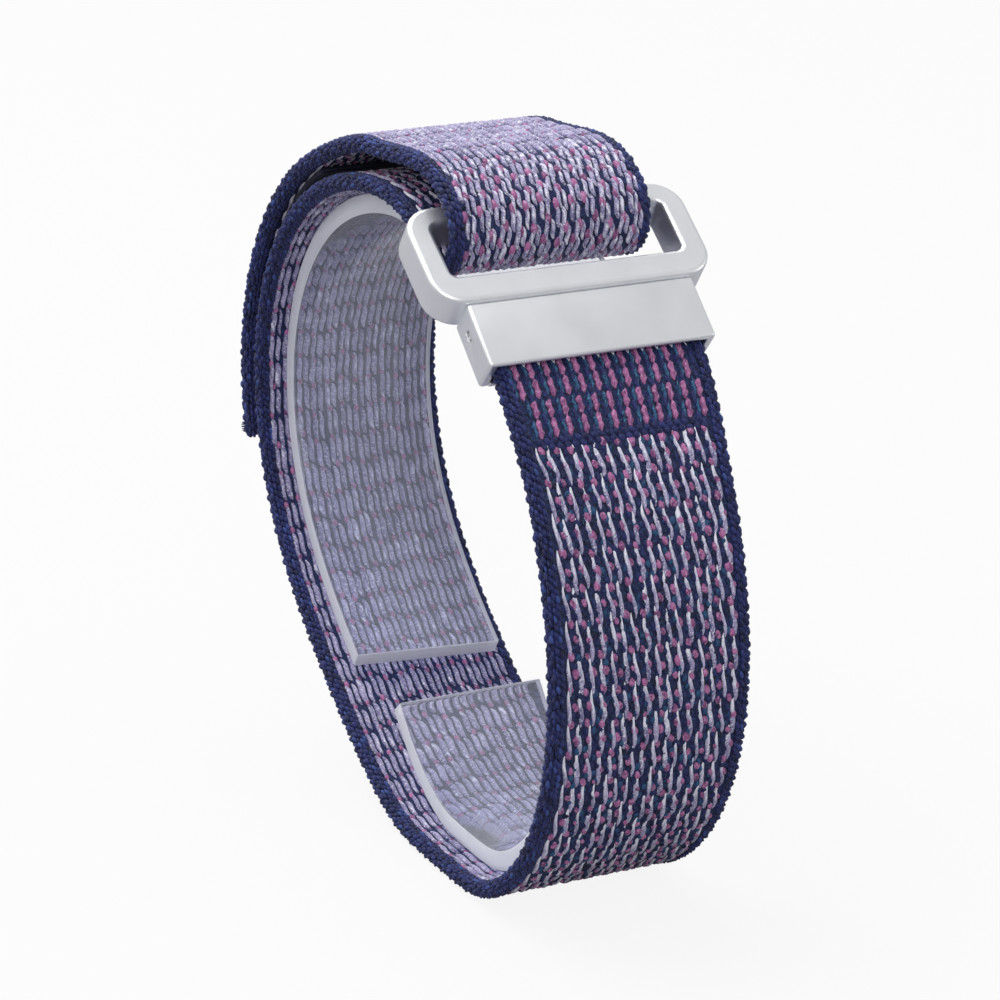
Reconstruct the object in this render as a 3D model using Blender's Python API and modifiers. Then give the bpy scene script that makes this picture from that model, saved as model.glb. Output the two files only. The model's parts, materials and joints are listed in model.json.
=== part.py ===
"""Woven hook-and-loop watch strap with a metal ring buckle, in metres, +Z up.

The strap stands on edge of its own loop: X runs across the strap's width, the buckle
faces -Y and the free tail lies over the top and down the back. The strap is one band
that starts at a spring bar inside the end housing, runs down the front, round the
bottom and up the back, dives under the ring's far bar and folds back over itself.
"""
import math

import bmesh
import bpy
from mathutils import Matrix, Vector

# Woven band
strap_width = 0.020
strap_thickness = 0.0019
winding_drift = 0.0006
path_step = 0.0017
band_edge_round = 0.0003

# Loop, an ellipse-like outline that leans, with a slight three-lobed swell
loop_radius = 0.0336
lean_share = 0.098
lean_angle = math.radians(-40)
lobe_share = 0.0345
lobe_angle = math.radians(58)
foot_flat = 0.0012
outline_angle_step = math.radians(0.05)
outline_samples = 720
join_angle = math.radians(32)
dive_angle = math.radians(97)

# Ring of the buckle, a flat rectangular frame that the band turns round
ring_angle = math.radians(60)
ring_standoff = 0.0011
ring_pitch = math.radians(37)
ring_thickness = 0.0037
ring_opening_length = 0.0061
ring_side_gap = 0.0018
ring_arm_width = 0.0024
near_bar_width = 0.0029
far_bar_width = 0.0021
ring_corner_radius = 0.0030
ring_inner_corner_radius = 0.0006
ring_edge_round = 0.0004

# Fold of the band round the far bar
fold_gap = 0.0008
fold_reach = 0.0003

# End housing, a hollow cap on the near bar with its mouth away from the ring
joint_gap = 0.0003
housing_turn = math.radians(5)
housing_step = 0.0004
housing_length = 0.0064
housing_front_wall = 0.0005
housing_side_wall = 0.0011
housing_top_wall = 0.0006
housing_slide_gap = 0.0004
housing_mouth_gap = 0.00042
housing_edge_round = 0.0004
back_plate_thickness = 0.0005
back_plate_gap = 0.0001

# Spring bar in the band's end eye
bar_radius = 0.0006
bar_bore_radius = 0.00044
bar_end_gap = 0.0002
eye_radius = 0.0011
eye_clearance = 0.00025
eye_side_gap = 0.00027
plunger_shank_radius = 0.00036
plunger_tip_radius = 0.00030
plunger_shank_length = 0.0026
plunger_shoulder_inset = 0.0002
plunger_tip_short = 0.00015
slot_height = 0.00075
slot_length = 0.0012
spring_wire_radius = 0.00007
spring_radius = 0.00028
spring_end_gap = 0.00015
spring_turns = 18
spring_points_per_turn = 8

# Free tail, three bodies joined by fabric hinges
layer_gap = 0.0011
hinge_gap = 0.0003
tail_lift_reach = 0.0022
tail_crest_angle = math.radians(98)
tail_crest_rise = 0.0007
tail_rest_angle = math.radians(119)
middle_hinge_angle = math.radians(121)
end_hinge_angle = math.radians(150)
tail_end_angle = math.radians(181.5)
hook_strip_thickness = 0.0006
hook_strip_margin = 0.0012
hook_end_margin = 0.0008
hook_gap = 0.00025
binding_length = 0.0023
binding_extra = 0.0003
binding_overhang = 0.0002
binding_turn = math.radians(14)
binding_edge_round = 0.0005

# Seam that closes the band's end eye, a zigzag of thread on each face
seam_distance = 0.0009
seam_count = 25
seam_edge_margin = 0.0014
stitch_length = 0.0009
thread_radius = 0.00007
thread_gap = 0.00003

# Clear display collar that holds the loop open
collar_width = 0.0156
collar_thickness = 0.0014
collar_gap = 0.0004
collar_back_angle = math.radians(232.5)
collar_front_angle = math.radians(-110)
collar_lift_start = math.radians(-60)
collar_lift = 0.0046
collar_lift_power = 1.8
collar_duck = 0.0029
collar_duck_angle = math.radians(64)
collar_duck_half = math.radians(38)
collar_edge_round = 0.0003

cut_overrun = 0.002
merge_distance = 0.000001
round_sides = 24
sharp_angle = math.radians(40)


def clear_scene():
    for thing in list(bpy.data.objects):
        bpy.data.objects.remove(thing, do_unlink=True)


def new_collection(name):
    collection = bpy.data.collections.new(name)
    bpy.context.scene.collection.children.link(collection)
    return collection


def material(name, colour, roughness, metallic=0.0, alpha=1.0):
    made = bpy.data.materials.new(name)
    made.use_nodes = True
    shader = made.node_tree.nodes["Principled BSDF"]
    shader.inputs["Base Color"].default_value = (*colour, 1.0)
    shader.inputs["Roughness"].default_value = roughness
    shader.inputs["Metallic"].default_value = metallic
    shader.inputs["Alpha"].default_value = alpha
    made.diffuse_color = (*colour, 1.0)
    return made


# Loop outline: angle zero faces -Y, a quarter turn faces +Z

def outline_point(angle):
    lean = lean_share * math.cos(2 * (angle - lean_angle))
    lobe = lobe_share * math.cos(3 * (angle - lobe_angle))
    radius = loop_radius * (1 + lean + lobe)
    return Vector((-radius * math.cos(angle), radius * math.sin(angle)))


def outline_normal(angle):
    ahead = outline_point(angle + outline_angle_step)
    behind = outline_point(angle - outline_angle_step)
    along = (ahead - behind).normalized()
    return Vector((-along.y, along.x))


def outline_offset(angle, offset):
    return outline_point(angle) + outline_normal(angle) * offset


def outline_tangent(angle):
    normal = outline_normal(angle)
    return Vector((normal.y, -normal.x))


def all_round(offset=0.0):
    return [outline_offset(math.tau * i / outline_samples, offset) for i in range(outline_samples)]


# Ring frame: along the ring towards the far bar, and out through its face

def direction(pitch):
    return Vector((math.cos(pitch), math.sin(pitch))), Vector((-math.sin(pitch), math.cos(pitch)))


ring_along, ring_out = direction(ring_pitch)
housing_along, housing_out = direction(ring_pitch + housing_turn)
ring_corner = outline_point(ring_angle).normalized() * (outline_point(ring_angle).length + ring_standoff)


def on_ring(along, out):
    return ring_corner + ring_along * along + ring_out * out


housing_corner = on_ring(-near_bar_width - joint_gap, -housing_step)


def on_housing(along, out):
    return housing_corner + housing_along * along + housing_out * out


housing_hollow_depth = strap_thickness + 2 * housing_mouth_gap
housing_depth = housing_front_wall + housing_hollow_depth + back_plate_thickness
housing_width = strap_width + 2 * (housing_slide_gap + housing_side_wall)
hollow_width = strap_width + 2 * housing_slide_gap
mid_depth = -housing_front_wall - housing_hollow_depth / 2
bar_along = -housing_top_wall - eye_side_gap - eye_radius
bar_place = on_housing(bar_along, mid_depth)
ring_opening_width = strap_width + 2 * ring_side_gap
ring_width = ring_opening_width + 2 * ring_arm_width
foot_level = min(point.y for point in all_round()) + foot_flat
half_band = strap_thickness / 2


# Centre line of the band, as points of a plane path

def straight(start, end, step=path_step):
    count = max(1, round((end - start).length / step))
    return [start.lerp(end, i / count) for i in range(count + 1)]


def bend(start, start_way, end, end_way, step=path_step):
    reach = (end - start).length / 3
    handles = [start, start + start_way * reach, end - end_way * reach, end]
    count = max(3, round((end - start).length / step))
    points = []
    for i in range(count + 1):
        t = i / count
        shares = ((1 - t) ** 3, 3 * t * (1 - t) ** 2, 3 * t * t * (1 - t), t ** 3)
        points.append(sum((h * s for h, s in zip(handles, shares)), Vector((0, 0))))
    return points


def sweep(first, last, offset, step=path_step):
    count = max(2, round(abs(last - first) * loop_radius / step))
    return [outline_offset(first + (last - first) * i / count, offset) for i in range(count + 1)]


def turn(centre, radius, first, last, step=path_step):
    count = max(6, round(abs(last - first) * radius / step) * 2)
    points = []
    for i in range(count + 1):
        angle = first + (last - first) * i / count
        points.append(centre + Vector((math.cos(angle), math.sin(angle))) * radius)
    return points


def chain(*runs):
    points = []
    for run in runs:
        for point in run:
            if not points or (point - points[-1]).length > merge_distance:
                points.append(point)
    return points


def path_length(points):
    return sum((b - a).length for a, b in zip(points, points[1:]))


fold_radius = ring_thickness / 2 + fold_gap + half_band
fold_centre_out = -ring_thickness / 2
fold_centre_along = ring_opening_length - fold_reach
fold_under = -ring_thickness - fold_gap - half_band
far_bar_end = ring_opening_length + far_bar_width
tail_offset = layer_gap + half_band
far_mouth = on_housing(-housing_length, mid_depth)


def band_path():
    """Centre line of the main band, from the eye round the loop to the end of the fold."""
    full = math.tau
    lead = straight(bar_place, far_mouth)
    joined = outline_offset(join_angle, -half_band)
    join = bend(far_mouth, -housing_along, joined, -outline_tangent(join_angle))
    around = sweep(join_angle, dive_angle - full, -half_band)
    around = [Vector((p.x, max(p.y, foot_level + half_band))) for p in around]
    under = on_ring(far_bar_end, fold_under)
    dive = bend(around[-1], -outline_tangent(dive_angle), under, -ring_along)
    run_in = straight(under, on_ring(fold_centre_along, fold_under))
    fold = turn(on_ring(fold_centre_along, fold_centre_out), fold_radius,
                ring_pitch - math.pi / 2, ring_pitch - math.pi / 2 - math.pi)
    run_out = straight(on_ring(fold_centre_along, fold_gap + half_band), hinge_centre(0))
    return chain(lead, join, around, dive, run_in, fold, run_out)


def hinge_centre(which):
    """Centre-line point of each fabric hinge: at the far bar, on the top, on the back."""
    if which == 0:
        return on_ring(fold_centre_along + tail_lift_reach, fold_gap + half_band)
    angle = (middle_hinge_angle, end_hinge_angle)[which - 1]
    return outline_offset(angle, tail_offset)


def hinge_way(which):
    if which == 0:
        return ring_along
    return outline_tangent((middle_hinge_angle, end_hinge_angle)[which - 1])


def hinge_axis(which):
    """The hinge lies on the tail's outer face, so the lifted pieces never cross."""
    way = hinge_way(which)
    return hinge_centre(which) + Vector((-way.y, way.x)) * half_band


def tail_path():
    """Centre line of the free tail, from the first hinge to its bound end."""
    start = hinge_centre(0)
    crest = outline_offset(tail_crest_angle, tail_offset + tail_crest_rise)
    rest = outline_offset(tail_rest_angle, tail_offset)
    level = Vector((1, 0))
    rise = bend(start, ring_along, crest, level)
    over = bend(crest, level, rest, outline_tangent(tail_rest_angle))
    down = sweep(tail_rest_angle, tail_end_angle, tail_offset)
    return chain(rise, over, down)


main_path = band_path()
free_path = tail_path()
main_length = path_length(main_path)
whole_length = main_length + path_length(free_path)


def path_distances(points, start):
    distances = [start]
    for a, b in zip(points, points[1:]):
        distances.append(distances[-1] + (b - a).length)
    return distances


def drift_at(distance):
    return -winding_drift * distance / whole_length


tail_last = free_path[-1]
tail_last_way = (free_path[-1] - free_path[-2]).normalized()


def binding_frame():
    """Start point and directions of the bound end, which stands out a little from the back."""
    swing = Matrix.Rotation(binding_turn, 2)
    way = swing @ tail_last_way
    out = Vector((-way.y, way.x))
    start = tail_last + tail_last_way * (joint_gap + binding_extra)
    return start, way, out


def back_extent():
    start, way, out = binding_frame()
    half = half_band + binding_extra
    ends = [start + way * along + out * half for along in (0.0, binding_length)]
    return max(point.x for point in ends + free_path + all_round())


# The origin is under the middle of everything, on the surface that the loop stands on
front_extent = min(point.x for point in all_round())
loop_centre = Vector((-(back_extent() + front_extent) / 2, -foot_level))


def world(point, x=0.0):
    return Vector((x, point.x + loop_centre.x, point.y + loop_centre.y))


def basis(along, out):
    """Rotation whose X axis is the strap's width, Y runs along and Z out of a face."""
    rotation = Matrix.Identity(4)
    rotation.col[1] = Vector((0, along.x, along.y, 0))
    rotation.col[2] = Vector((0, out.x, out.y, 0))
    return rotation


# Modelling helpers

def add_object(name, mesh, collection, look=None):
    thing = bpy.data.objects.new(name, mesh)
    collection.objects.link(thing)
    if look:
        mesh.materials.clear()
        mesh.materials.append(look)
    return thing


def as_cutter(thing):
    thing.hide_render = True
    thing.display_type = "WIRE"
    return thing


def boolean(thing, tool, operation):
    step = thing.modifiers.new(operation.lower(), "BOOLEAN")
    step.operation = operation
    step.object = tool
    step.solver = "EXACT"


def bevel(thing, width, segments=2):
    step = thing.modifiers.new("edge_round", "BEVEL")
    step.width = width
    step.segments = segments
    step.limit_method = "ANGLE"
    step.angle_limit = sharp_angle


def box_mesh(name, size, centre=(0, 0, 0)):
    work = bmesh.new()
    bmesh.ops.create_cube(work, size=1)
    bmesh.ops.scale(work, vec=size, verts=work.verts)
    bmesh.ops.translate(work, vec=centre, verts=work.verts)
    mesh = bpy.data.meshes.new(name)
    work.to_mesh(mesh)
    work.free()
    return mesh


def rod_mesh(name, radius, length, sides=round_sides, centre_x=0.0):
    """A cylinder along X."""
    work = bmesh.new()
    bmesh.ops.create_cone(work, cap_ends=True, segments=sides, radius1=radius, radius2=radius, depth=length)
    bmesh.ops.rotate(work, matrix=Matrix.Rotation(math.pi / 2, 3, "Y"), verts=work.verts)
    bmesh.ops.translate(work, vec=(centre_x, 0, 0), verts=work.verts)
    mesh = bpy.data.meshes.new(name)
    work.to_mesh(mesh)
    work.free()
    mesh.shade_smooth()
    mesh.set_sharp_from_angle(angle=sharp_angle)
    return mesh


def sheet_mesh(name, points, width, distances, origin):
    """A strip that follows a plane path, drifting sideways as the band winds on."""
    work = bmesh.new()
    verts = []
    for point, distance in zip(points, distances):
        place = world(point, drift_at(distance) - width / 2) - origin
        verts.append(work.verts.new(place))
    edges = [work.edges.new((a, b)) for a, b in zip(verts, verts[1:])]
    grown = bmesh.ops.extrude_edge_only(work, edges=edges)
    moved = [g for g in grown["geom"] if isinstance(g, bmesh.types.BMVert)]
    bmesh.ops.translate(work, vec=(width, 0, 0), verts=moved)
    bmesh.ops.recalc_face_normals(work, faces=work.faces)
    mesh = bpy.data.meshes.new(name)
    work.to_mesh(mesh)
    work.free()
    return mesh


def strip(name, points, width, thickness, distances, origin, collection, look, edge_round):
    mesh = sheet_mesh(name, points, width, distances, origin)
    thing = add_object(name, mesh, collection, look)
    thing.location = origin
    shell = thing.modifiers.new("thickness", "SOLIDIFY")
    shell.thickness = thickness
    shell.offset = 0.0
    shell.use_even_offset = True
    if edge_round:
        bevel(thing, edge_round, segments=1)
    return thing


def joint_empty(name, place, collection):
    holder = bpy.data.objects.new(name, None)
    holder.empty_display_size = strap_thickness
    holder.location = place
    collection.objects.link(holder)
    return holder


def hang_on(thing, holder):
    """Parent at the holder's place without moving the child."""
    bpy.context.view_layer.update()
    thing.parent = holder
    thing.matrix_parent_inverse = holder.matrix_world.inverted()


def rounded_outline(name, width, length, radius, depth, corner_points=6):
    """A flat plate with rounded corners, lying in X and Y, centred on its depth."""
    curve = bpy.data.curves.new(name, "CURVE")
    curve.dimensions = "2D"
    curve.fill_mode = "BOTH"
    curve.extrude = depth / 2
    spline = curve.splines.new("POLY")
    points = []
    for quarter, (sx, sy) in enumerate(((1, 1), (-1, 1), (-1, -1), (1, -1))):
        centre = Vector((sx * (width / 2 - radius), sy * (length / 2 - radius)))
        for i in range(corner_points + 1):
            angle = (quarter + i / corner_points) * math.pi / 2
            points.append(centre + Vector((math.cos(angle), math.sin(angle))) * radius)
    spline.points.add(len(points) - 1)
    for spot, point in zip(spline.points, points):
        spot.co = (point.x, point.y, 0, 1)
    spline.use_cyclic_u = True
    return curve


def curve_to_mesh(name, curve, collection):
    """Evaluate a curve, weld its caps and give back a plain mesh."""
    temporary = bpy.data.objects.new(name + "_curve", curve)
    collection.objects.link(temporary)
    bpy.context.view_layer.update()
    evaluated = temporary.evaluated_get(bpy.context.evaluated_depsgraph_get())
    mesh = bpy.data.meshes.new_from_object(evaluated)
    mesh.name = name
    bpy.data.objects.remove(temporary, do_unlink=True)
    bpy.data.curves.remove(curve)
    work = bmesh.new()
    work.from_mesh(mesh)
    bmesh.ops.remove_doubles(work, verts=work.verts, dist=merge_distance)
    bmesh.ops.recalc_face_normals(work, faces=work.faces)
    work.to_mesh(mesh)
    work.free()
    return mesh


# The pieces

def make_band(parts, cutters, look):
    """The long stretch of woven band with its end eye, down to the first fabric hinge."""
    points = main_path[:-1] + [main_path[-1] - ring_along * hinge_gap / 2]
    distances = path_distances(points, 0.0)
    origin = world(bar_place)
    band = strip("strap_band", points, strap_width, strap_thickness, distances, origin, parts, look, 0.0)
    eye = add_object("band_eye", rod_mesh("band_eye", eye_radius, strap_width), cutters)
    bore_radius = bar_radius + eye_clearance
    bore = add_object("band_bore", rod_mesh("band_bore", bore_radius, strap_width + cut_overrun), cutters)
    for tool, operation in ((eye, "UNION"), (bore, "DIFFERENCE")):
        as_cutter(tool)
        tool.location = origin
        boolean(band, tool, operation)


def make_seams(parts, look):
    """A zigzag of thread on each face of the band, which closes the end eye."""
    pitch = (strap_width - 2 * seam_edge_margin) / (seam_count - 1)
    along = -housing_length + seam_distance
    for side, name in ((1, "end_seam_front"), (-1, "end_seam_back")):
        thread = bpy.data.curves.new(name, "CURVE")
        thread.dimensions = "3D"
        thread.bevel_depth = thread_radius
        thread.bevel_resolution = 1
        thread.use_fill_caps = True
        spline = thread.splines.new("POLY")
        spline.points.add(seam_count - 1)
        lift = side * (half_band + thread_gap + thread_radius)
        for i, spot in enumerate(spline.points):
            sway = stitch_length / 2 * (1 if i % 2 else -1)
            spot.co = (-strap_width / 2 + seam_edge_margin + i * pitch, sway, lift, 1)
        seam = add_object(name, curve_to_mesh(name, thread, parts), parts, look)
        frame = basis(housing_along, housing_out)
        seam.matrix_world = Matrix.Translation(world(on_housing(along, mid_depth))) @ frame


def make_tail(parts, looks):
    """Three tail bodies, each on its own hinge, the later ones carried by the earlier."""
    holders = []
    for which, name in enumerate(("strap_tail_front", "strap_tail_middle", "strap_tail_end")):
        holder = joint_empty("tail_hinge_%d" % (which + 1), world(hinge_axis(which)), parts)
        if holders:
            hang_on(holder, holders[-1])
        holders.append(holder)
        points = tail_stretch(which)
        distances = path_distances(points, main_length + distance_on_tail(points[0]))
        piece = strip(name, points, strap_width, strap_thickness, distances, holder.location.copy(), parts,
                      looks["band"], band_edge_round)
        hang_on(piece, holder)
    make_hook_strips(parts, looks["hook"], holders)
    make_binding(parts, looks["band"], holders[-1])


def make_hook_strips(parts, look, holders):
    """Hook tape on the inner face of the middle and end bodies."""
    for which, name in ((1, "hook_strip_middle"), (2, "hook_strip_end")):
        points = hook_stretch(which)
        distances = path_distances(points, main_length + distance_on_tail(points[0]))
        width = strap_width - 2 * hook_strip_margin
        origin = world(hinge_axis(which))
        piece = strip(name, points, width, hook_strip_thickness, distances, origin, parts, look, 0.0)
        hang_on(piece, holders[which])


def make_binding(parts, look, holder):
    """The folded and sealed end of the tail, a little thicker than the band."""
    start, way, out = binding_frame()
    size = (strap_width + 2 * binding_overhang, binding_length, strap_thickness + 2 * binding_extra)
    binding = add_object("tail_end_binding", box_mesh("tail_end_binding", size), parts, look)
    centre = world(start + way * binding_length / 2, drift_at(whole_length))
    origin = world(hinge_axis(2))
    binding.data.transform(Matrix.Translation(centre - origin) @ basis(way, out))
    binding.location = origin
    bevel(binding, binding_edge_round)
    hang_on(binding, holder)


def distance_on_tail(point):
    distances = path_distances(free_path, 0.0)
    best = min(range(len(free_path)), key=lambda i: (free_path[i] - point).length)
    return distances[best]


def tail_stretch(which):
    """Centre line of one tail body, with half a hinge gap left at each hinge."""
    start = hinge_centre(which) + hinge_way(which) * hinge_gap / 2
    low = distance_on_tail(hinge_centre(which))
    if which == 2:
        stop = tail_last
        high = path_length(free_path)
    else:
        stop = hinge_centre(which + 1) - hinge_way(which + 1) * hinge_gap / 2
        high = distance_on_tail(hinge_centre(which + 1))
    margin = path_step / 2
    distances = path_distances(free_path, 0.0)
    inner = [p for p, s in zip(free_path, distances) if low + margin < s < high - margin]
    return [start] + inner + [stop]


def hook_stretch(which):
    """Hook tape under a tail body: offset towards the band and drawn in at its ends."""
    offset = layer_gap - hook_gap - hook_strip_thickness / 2
    first, last = ((middle_hinge_angle, end_hinge_angle), (end_hinge_angle, tail_end_angle))[which - 1]
    margin = hook_end_margin / loop_radius
    return sweep(first + margin, last - margin, offset)


def make_ring(parts, cutters, look):
    """Flat rectangular ring with rounded outer corners and softened edges."""
    length = near_bar_width + ring_opening_length + far_bar_width
    blank = rounded_outline("buckle_ring", ring_width, length, ring_corner_radius, ring_thickness)
    mesh = curve_to_mesh("buckle_ring", blank, parts)
    hole = rounded_outline("ring_opening", ring_opening_width, ring_opening_length,
                           ring_inner_corner_radius, ring_thickness + cut_overrun, corner_points=3)
    hole_mesh = curve_to_mesh("ring_opening", hole, cutters)
    ring = add_object("buckle_ring", mesh, parts, look)
    cutter = as_cutter(add_object("ring_opening", hole_mesh, cutters))
    middle = (ring_opening_length + far_bar_width - near_bar_width) / 2
    frame = basis(ring_along, ring_out)
    spot = world(on_ring(middle, -ring_thickness / 2))
    opening = world(on_ring(ring_opening_length / 2, -ring_thickness / 2))
    hinge = world(bar_place)
    ring.data.transform(Matrix.Translation(spot - hinge) @ frame)
    cutter.data.transform(Matrix.Translation(opening - hinge) @ frame)
    ring.location = hinge
    cutter.location = hinge
    boolean(ring, cutter, "DIFFERENCE")
    bevel(ring, ring_edge_round)


def make_housing(parts, cutters, look):
    """Hollow end cap: front, top and side walls, open at the mouth and the back, with side slots."""
    hinge = world(bar_place)
    frame = basis(housing_along, housing_out)

    def put(thing, along, out, x=0.0):
        spot = world(on_housing(along, out), x)
        thing.data.transform(Matrix.Translation(spot - hinge) @ frame)
        thing.location = hinge

    block = box_mesh("end_housing", (housing_width, housing_length, housing_depth))
    housing = add_object("end_housing", block, parts, look)
    put(housing, -housing_length / 2, -housing_depth / 2)
    bevel(housing, housing_edge_round)
    hollow_length = housing_length - housing_top_wall
    hollow_depth = housing_hollow_depth + back_plate_thickness
    hollow_size = (hollow_width, hollow_length + cut_overrun, hollow_depth + cut_overrun)
    hollow = as_cutter(add_object("housing_hollow", box_mesh("housing_hollow", hollow_size), cutters))
    put(hollow, -housing_top_wall - (hollow_length + cut_overrun) / 2,
        -housing_front_wall - (hollow_depth + cut_overrun) / 2)
    boolean(housing, hollow, "DIFFERENCE")
    radius = slot_height / 2
    slot_curve = rounded_outline("side_slot", slot_length, slot_height, radius,
                                 housing_width + cut_overrun, corner_points=5)
    slot = as_cutter(add_object("side_slot", curve_to_mesh("side_slot", slot_curve, cutters), cutters))
    lay = Matrix.Rotation(math.pi / 2, 4, "Y") @ Matrix.Rotation(math.pi / 2, 4, "Z")
    slot.data.transform(lay)
    put(slot, bar_along, mid_depth)
    boolean(housing, slot, "DIFFERENCE")


def make_back_plate(parts, look):
    """Flat plate that closes the housing's wrist side between the side walls."""
    width = hollow_width - 2 * back_plate_gap
    length = housing_length - housing_top_wall - back_plate_gap
    mesh = box_mesh("housing_back_plate", (width, length, back_plate_thickness))
    plate = add_object("housing_back_plate", mesh, parts, look)
    hinge = world(bar_place)
    out = -housing_front_wall - housing_hollow_depth - back_plate_thickness / 2
    spot = world(on_housing(-housing_top_wall - back_plate_gap - length / 2, out))
    plate.data.transform(Matrix.Translation(spot - hinge) @ basis(housing_along, housing_out))
    plate.location = hinge


def make_spring_bar(parts, cutters, looks):
    """Tube, two sprung plungers and the coil between them, all on the hinge line."""
    hinge = world(bar_place)
    tube_length = hollow_width - 2 * bar_end_gap
    rod = rod_mesh("spring_bar_tube", bar_radius, tube_length)
    tube = add_object("spring_bar_tube", rod, parts, looks["steel"])
    bore = rod_mesh("tube_bore", bar_bore_radius, tube_length + cut_overrun)
    cutter = as_cutter(add_object("tube_bore", bore, cutters))
    for thing in (tube, cutter):
        thing.location = hinge
    boolean(tube, cutter, "DIFFERENCE")
    shank_end = tube_length / 2 - plunger_shoulder_inset
    tip_end = housing_width / 2 - plunger_tip_short
    for side, name in ((-1, "plunger_near"), (1, "plunger_far")):
        shank = rod_mesh(name, plunger_shank_radius, plunger_shank_length,
                         centre_x=side * (shank_end - plunger_shank_length / 2))
        tip = rod_mesh(name + "_tip", plunger_tip_radius, tip_end - shank_end + plunger_shank_length / 2,
                       centre_x=side * (tip_end + shank_end - plunger_shank_length / 2) / 2)
        body = add_object(name, shank, parts, looks["steel"])
        nose = as_cutter(add_object(name + "_tip", tip, cutters))
        body.location = hinge
        nose.location = hinge
        boolean(body, nose, "UNION")
    coil = bpy.data.curves.new("bar_spring", "CURVE")
    coil.dimensions = "3D"
    coil.bevel_depth = spring_wire_radius
    coil.bevel_resolution = 1
    coil.use_fill_caps = True
    spline = coil.splines.new("POLY")
    half = shank_end - plunger_shank_length - spring_end_gap - spring_wire_radius
    count = spring_turns * spring_points_per_turn
    spline.points.add(count)
    for i, spot in enumerate(spline.points):
        angle = math.tau * i / spring_points_per_turn
        along = -half + 2 * half * i / count
        spot.co = (along, spring_radius * math.cos(angle), spring_radius * math.sin(angle), 1)
    mesh = curve_to_mesh("bar_spring", coil, parts)
    mesh.shade_smooth()
    spring = add_object("bar_spring", mesh, parts, looks["steel"])
    spring.location = hinge


def collar_offset(angle):
    """How far the collar's middle lies inside the loop's outline at an angle."""
    offset = -strap_thickness - collar_gap - collar_thickness / 2
    away = abs(angle - collar_duck_angle) / collar_duck_half
    if away < 1:
        offset -= collar_duck * math.cos(away * math.pi / 2) ** 2
    if angle < collar_lift_start:
        share = (collar_lift_start - angle) / (collar_lift_start - collar_front_angle)
        offset -= collar_lift * share ** collar_lift_power
    return offset


def make_collar(parts, look):
    """Springy C-shaped sheet inside the loop, open at the lower back."""
    span = collar_back_angle - collar_front_angle
    count = round(span * loop_radius / path_step)
    points = []
    for i in range(count + 1):
        angle = collar_back_angle - span * i / count
        points.append(outline_offset(angle, collar_offset(angle)))
    foot_rest = foot_level + strap_thickness + collar_gap + collar_thickness / 2
    points = [Vector((p.x, max(p.y, foot_rest))) for p in points]
    origin = world(Vector((0, 0)))
    mesh = sheet_mesh("display_collar", points, collar_width, [main_length / 2] * len(points), origin)
    collar = add_object("display_collar", mesh, parts, look)
    collar.location = origin
    shell = collar.modifiers.new("thickness", "SOLIDIFY")
    shell.thickness = collar_thickness
    shell.offset = 0.0
    shell.use_even_offset = True
    bevel(collar, collar_edge_round, segments=1)


def main():
    clear_scene()
    parts = new_collection("watch_strap")
    cutters = new_collection("cutters")
    looks = {
        "band": material("woven_nylon", (0.22, 0.19, 0.36), 0.85),
        "hook": material("hook_tape", (0.03, 0.03, 0.05), 0.9),
        "thread": material("seam_thread", (0.75, 0.72, 0.82), 0.7),
        "metal": material("satin_metal", (0.72, 0.73, 0.75), 0.32, metallic=1.0),
        "steel": material("spring_steel", (0.6, 0.6, 0.62), 0.3, metallic=1.0),
        "clear": material("clear_plastic", (0.9, 0.9, 0.95), 0.08, alpha=0.35),
    }
    make_band(parts, cutters, looks["band"])
    make_seams(parts, looks["thread"])
    make_tail(parts, looks)
    make_ring(parts, cutters, looks["metal"])
    make_housing(parts, cutters, looks["metal"])
    make_back_plate(parts, looks["metal"])
    make_spring_bar(parts, cutters, looks)
    make_collar(parts, looks["clear"])


main()
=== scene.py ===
import json
from math import ceil, copysign, cos, pi, radians, sin, tau

import bmesh
import bpy
import numpy as np
from mathutils import Matrix, Vector


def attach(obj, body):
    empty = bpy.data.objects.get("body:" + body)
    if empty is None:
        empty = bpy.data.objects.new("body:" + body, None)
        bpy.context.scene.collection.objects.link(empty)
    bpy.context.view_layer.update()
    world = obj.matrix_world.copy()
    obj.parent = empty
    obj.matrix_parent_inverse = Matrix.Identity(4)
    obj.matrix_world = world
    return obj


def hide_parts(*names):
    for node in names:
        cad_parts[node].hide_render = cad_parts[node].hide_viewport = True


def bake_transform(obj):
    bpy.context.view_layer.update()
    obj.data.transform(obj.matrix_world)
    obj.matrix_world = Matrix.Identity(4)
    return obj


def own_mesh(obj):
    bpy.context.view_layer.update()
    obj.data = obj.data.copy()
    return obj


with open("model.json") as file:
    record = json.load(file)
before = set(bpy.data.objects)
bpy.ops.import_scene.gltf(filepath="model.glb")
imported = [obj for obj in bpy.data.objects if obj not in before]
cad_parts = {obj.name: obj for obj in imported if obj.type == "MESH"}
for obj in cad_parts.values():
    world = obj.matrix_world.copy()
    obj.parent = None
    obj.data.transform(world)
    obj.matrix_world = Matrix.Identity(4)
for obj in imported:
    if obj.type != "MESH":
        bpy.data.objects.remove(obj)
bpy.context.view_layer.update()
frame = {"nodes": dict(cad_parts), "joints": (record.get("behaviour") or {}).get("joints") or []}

# Camera and lights of the product shot: a long lens a little above the loop, in a white tent
# with a wide soft light overhead, a smaller one in front and a weak one at the right.

camera_azimuth = radians(-25.97)
camera_elevation = radians(18.23)
camera_distance = 0.3469
camera_lens = 128.06
camera_aim = Vector((0.0, -0.00235, 0.03323))
camera_slip = 0.00076
camera_rise = 0.00067
tent_colour = (0.97, 0.98, 1.0, 1)
tent_strength = 0.59

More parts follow.
